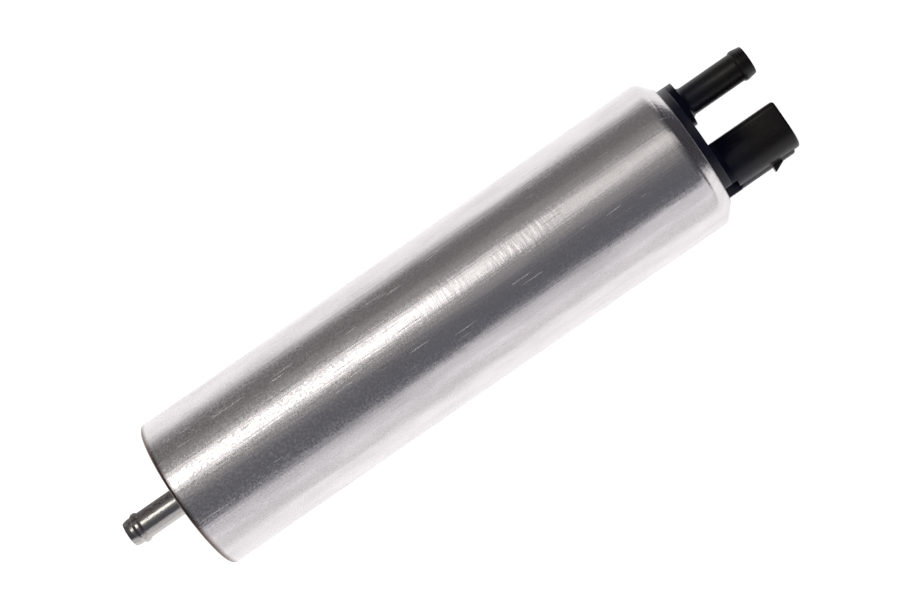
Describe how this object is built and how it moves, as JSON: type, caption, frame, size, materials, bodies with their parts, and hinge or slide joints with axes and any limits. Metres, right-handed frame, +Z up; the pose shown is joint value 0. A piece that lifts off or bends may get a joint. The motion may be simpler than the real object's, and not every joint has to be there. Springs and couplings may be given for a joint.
{
  "type": "fuel lift pump",
  "caption": "In-line electric fuel lift pump: aluminium can with a beaded inlet nipple, and a crimped black cap with a barbed outlet spigot and a latching two-pin socket.",
  "frame": {"origin": "on the pump's axis, half way along the can", "axes": "+X along the axis from the inlet nipple to the outlet cap; +Y towards the outlet spigot, -Y towards the plug socket; +Z up when the pump lies on its side"},
  "size_m": [0.2006, 0.043, 0.043],
  "materials": {
    "satin_aluminium": "satin, drawn",
    "plated_steel": "bright plated",
    "black_plastic": "moulded, fine grain",
    "black_rubber": "matt",
    "spring_steel": "drawn wire",
    "white_plastic": "moulded",
    "machined_aluminium": "machined",
    "hardened_steel": "ground",
    "sintered_steel": "sintered",
    "brass": "turned",
    "sintered_bronze": "sintered",
    "zinc_plated_steel": "zinc plated",
    "magnet_ferrite": "ground ferrite",
    "lamination_steel": "stamped laminations",
    "red_fibre": "vulcanised fibre",
    "enamelled_copper": "enamelled copper wire",
    "brown_moulding": "moulded",
    "carbon": "pressed carbon",
    "grey_moulding": "glass-filled moulding",
    "tinned_braid": "tinned braid",
    "tinned_brass": "tin plated"
  },
  "bodies": {
    "housing": {"can": "satin_aluminium", "inlet_nipple": "plated_steel", "inlet_seal": "black_rubber", "disc_spring": "spring_steel", "inlet_strainer": "white_plastic", "pump_cover": "machined_aluminium", "pump_seal": "black_rubber", "relief_spring": "spring_steel", "relief_plug": "brass", "pump_ring": "hardened_steel", "outlet_plate": "machined_aluminium", "pump_screws": "hardened_steel", "front_bush": "sintered_bronze", "rear_bush": "sintered_bronze", "motor_yoke": "zinc_plated_steel", "magnet_a": "magnet_ferrite", "magnet_b": "magnet_ferrite", "magnet_clips": "spring_steel", "brush_carrier": "grey_moulding", "brush_spring_a": "spring_steel", "brush_spring_b": "spring_steel", "brush_lead_a": "tinned_braid", "brush_lead_b": "tinned_braid", "choke_core_a": "magnet_ferrite", "choke_core_b": "magnet_ferrite", "choke_coil_a": "enamelled_copper", "choke_coil_b": "enamelled_copper", "outlet_cap": "black_plastic", "outlet_spigot": "black_plastic", "plug_shroud": "black_plastic", "cap_seal": "black_rubber", "check_seat": "brass", "check_spring": "spring_steel", "terminal_a": "tinned_brass", "terminal_b": "tinned_brass"},
    "armature": {"shaft": "hardened_steel", "armature_core": "lamination_steel", "core_insulators": "red_fibre", "armature_windings": "enamelled_copper", "shaft_sleeves": "white_plastic", "commutator_hub": "brown_moulding", "commutator_segments": "carbon", "inner_rotor": "sintered_steel"},
    "outer_gear": {"outer_rotor": "sintered_steel"},
    "brush_a_body": {"brush_a": "carbon"},
    "brush_b_body": {"brush_b": "carbon"},
    "relief_ball_body": {"relief_ball": "hardened_steel"},
    "check_poppet_body": {"check_poppet": "white_plastic"}
  },
  "joints": [
    {"name": "armature_spin", "type": "hinge", "parent": "housing", "child": "armature", "pos_m": [0, 0, 0], "axis": [1, 0, 0], "continuous": true},
    {"name": "outer_rotor_spin", "type": "hinge", "parent": "housing", "child": "outer_gear", "pos_m": [-0.05, 0.0012, 0], "axis": [1, 0, 0], "continuous": true},
    {"name": "brush_a_slide", "type": "slide", "parent": "housing", "child": "brush_a_body", "axis": [1, 0, 0], "range_m": [0, 0.0025], "stiffness_N_per_m": 250, "springref_m": -0.002, "deforming": ["brush_spring_a", "brush_lead_a"]},
    {"name": "brush_b_slide", "type": "slide", "parent": "housing", "child": "brush_b_body", "axis": [1, 0, 0], "range_m": [0, 0.0025], "stiffness_N_per_m": 250, "springref_m": -0.002, "deforming": ["brush_spring_b", "brush_lead_b"]},
    {"name": "relief_ball_slide", "type": "slide", "parent": "housing", "child": "relief_ball_body", "axis": [-1, 0, 0], "range_m": [0, 0.0012], "stiffness_N_per_m": 900, "springref_m": -0.0008, "deforming": ["relief_spring"]},
    {"name": "check_poppet_slide", "type": "slide", "parent": "housing", "child": "check_poppet_body", "axis": [1, 0, 0], "range_m": [0, 0.002], "stiffness_N_per_m": 120, "springref_m": -0.001, "deforming": ["check_spring"]}
  ],
  "couplings": [
    {"joint": "outer_rotor_spin", "follows": "armature_spin", "ratio": 0.85714}
  ]
}
